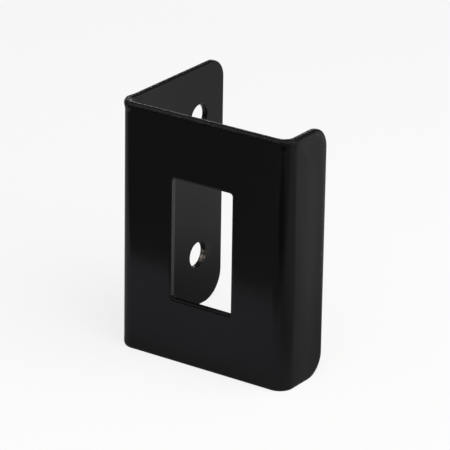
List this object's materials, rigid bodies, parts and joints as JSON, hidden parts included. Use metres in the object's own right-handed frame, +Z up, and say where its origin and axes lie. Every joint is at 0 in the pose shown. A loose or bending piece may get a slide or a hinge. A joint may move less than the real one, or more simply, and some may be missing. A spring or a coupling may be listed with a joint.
{
  "type": "rocker switch mounting bracket",
  "caption": "Folded sheet steel channel with a rectangular switch opening in its front panel and bolt holes in the longer of its flanges.",
  "frame": {"origin": "middle of the bracket's footprint, on the surface that its lower edge stands on", "axes": "+Z up along the bends, -Y out of the front panel, -X out of the long flange's outside face"},
  "size_m": [0.0584, 0.0494, 0.076],
  "materials": {
    "black_coat": "gloss black powder coat with a fine orange peel"
  },
  "bodies": {
    "root": {"bracket": "black_coat"}
  },
  "joints": []
}
